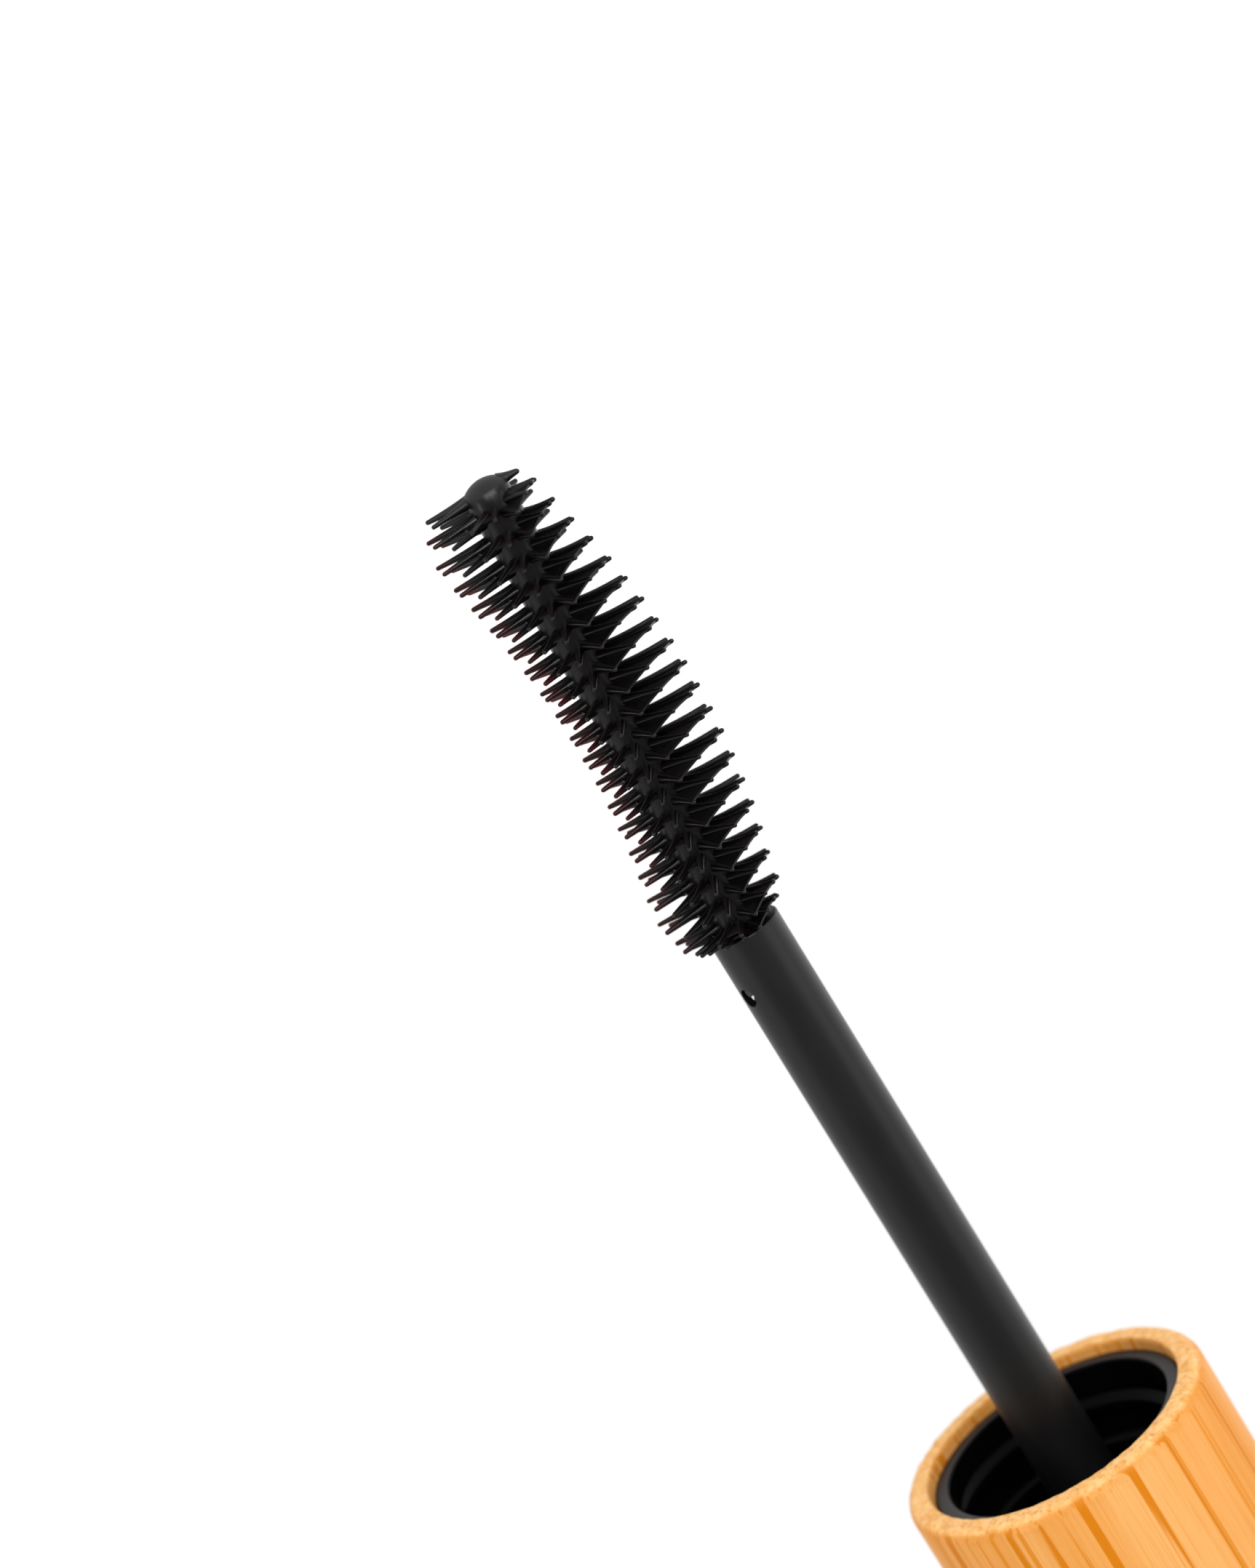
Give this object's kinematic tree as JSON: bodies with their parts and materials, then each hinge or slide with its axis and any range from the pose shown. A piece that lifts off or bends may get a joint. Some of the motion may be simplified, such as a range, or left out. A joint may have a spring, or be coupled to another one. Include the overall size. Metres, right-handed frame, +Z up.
{
  "type": "mascara tube",
  "caption": "Cylindrical bamboo mascara tube with a screw cap that carries a hollow rod and a curved moulded bristle brush, shown with the wand drawn out.",
  "frame": {"origin": "centre of the tube's flat base", "axes": "+Z up the tube's axis, out of the neck and along the wand's pull; the brush bulges towards -X"},
  "size_m": [0.02, 0.02, 0.2431],
  "materials": {
    "bamboo": "fine-sanded natural bamboo, clear matt seal, darker fibre streaks along the length",
    "black_plastic": "black moulded plastic, satin",
    "rod_plastic": "black moulded plastic, satin",
    "brush_elastomer": "black moulded elastomer, glossy",
    "wiper_rubber": "natural soft low-density rubber, satin",
    "washer_foam": "black closed-cell sealing foam, matt",
    "mascara": "wet black cream"
  },
  "bodies": {
    "tube": {"tube_shell": "bamboo", "vial": "black_plastic", "mascara_paste": "mascara"},
    "wiper": {"wiper": "wiper_rubber"},
    "washer": {"cap_washer": "washer_foam"},
    "wand": {"cap_shell": "bamboo", "inner_cap": "black_plastic", "wand_rod": "rod_plastic", "brush": "brush_elastomer"}
  },
  "joints": [
    {"name": "cap_turn", "type": "hinge", "parent": "tube", "child": "wiper", "pos_m": [0, 0, 0.0832], "axis": [0, 0, 1], "range_deg": [-450, 0]},
    {"name": "wand_pull", "type": "slide", "parent": "wiper", "child": "washer", "axis": [0, 0, 1], "range_m": [-0.11835, 0], "deforming": ["brush"]},
    {"name": "thread_travel", "type": "slide", "parent": "washer", "child": "wand", "axis": [0, 0, 1], "range_m": [-0.00344, 0]}
  ],
  "couplings": [
    {"joint": "thread_travel", "follows": "cap_turn", "m_per_rad": 0.00043768}
  ]
}
